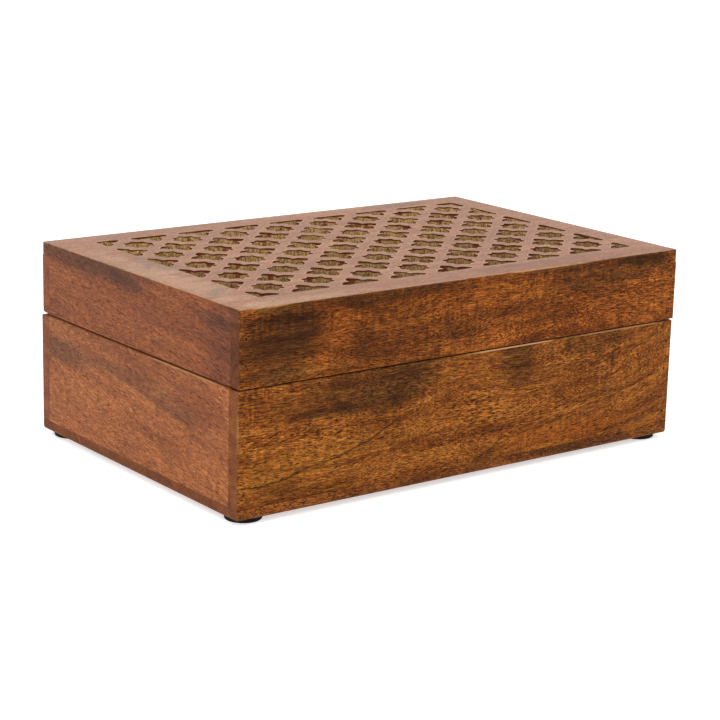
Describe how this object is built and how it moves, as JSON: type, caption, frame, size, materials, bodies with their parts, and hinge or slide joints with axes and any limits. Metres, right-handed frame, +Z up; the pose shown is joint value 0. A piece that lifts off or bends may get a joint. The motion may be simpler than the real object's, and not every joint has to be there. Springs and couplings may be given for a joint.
{
  "type": "hinged wooden box",
  "caption": "Rectangular hinged wooden box with a pierced star and cross lattice in its lid, butt-jointed board sides, a floor panel and low rubber feet.",
  "frame": {"origin": "middle of the footprint, knuckles included, at the underside of the feet", "axes": "+X along the box's length towards its right end, +Y towards the hinged back, +Z up"},
  "size_m": [0.3056, 0.2044, 0.1134],
  "materials": {
    "mango_wood": "orange-brown mango wood, rubbed with wax to a low sheen, dark growth lines",
    "mango_wood_panel": "the same wood on the lid's lattice panel, satin, brown stained",
    "ochre_paint": "thin board with matte ochre-gold paint",
    "black_rubber": "matte black rubber",
    "brass": "rolled brass, lightly tarnished",
    "blackened_steel": "oxidised wire nail steel"
  },
  "bodies": {
    "base": {"base_front_board": "mango_wood", "base_back_board": "mango_wood", "base_left_end": "mango_wood", "base_right_end": "mango_wood", "base_floor": "mango_wood", "foot_front_left": "black_rubber", "foot_front_right": "black_rubber", "foot_back_left": "black_rubber", "foot_back_right": "black_rubber", "base_brad_front_left_low": "blackened_steel", "base_brad_front_left_high": "blackened_steel", "base_brad_front_right_low": "blackened_steel", "base_brad_front_right_high": "blackened_steel", "base_brad_back_left_low": "blackened_steel", "base_brad_back_left_high": "blackened_steel", "base_brad_back_right_low": "blackened_steel", "base_brad_back_right_high": "blackened_steel", "hinge_left_base_leaf": "brass", "hinge_left_pin": "brass", "hinge_left_base_screw_left": "brass", "hinge_left_base_screw_right": "brass", "hinge_right_base_leaf": "brass", "hinge_right_pin": "brass", "hinge_right_base_screw_left": "brass", "hinge_right_base_screw_right": "brass"},
    "lid": {"lid_front_board": "mango_wood", "lid_back_board": "mango_wood", "lid_left_end": "mango_wood", "lid_right_end": "mango_wood", "lid_lattice_panel": "mango_wood_panel", "lid_backing_board": "ochre_paint", "lid_brad_front_left_low": "blackened_steel", "lid_brad_front_left_high": "blackened_steel", "lid_brad_front_right_low": "blackened_steel", "lid_brad_front_right_high": "blackened_steel", "lid_brad_back_left_low": "blackened_steel", "lid_brad_back_left_high": "blackened_steel", "lid_brad_back_right_low": "blackened_steel", "lid_brad_back_right_high": "blackened_steel", "hinge_left_lid_leaf": "brass", "hinge_left_lid_screw_left": "brass", "hinge_left_lid_screw_right": "brass", "hinge_right_lid_leaf": "brass", "hinge_right_lid_screw_left": "brass", "hinge_right_lid_screw_right": "brass"}
  },
  "joints": [
    {"name": "lid_hinge", "type": "hinge", "parent": "base", "child": "lid", "pos_m": [0, 0.10015, 0.07175], "axis": [-1, 0, 0], "range_deg": [0, 100]}
  ]
}
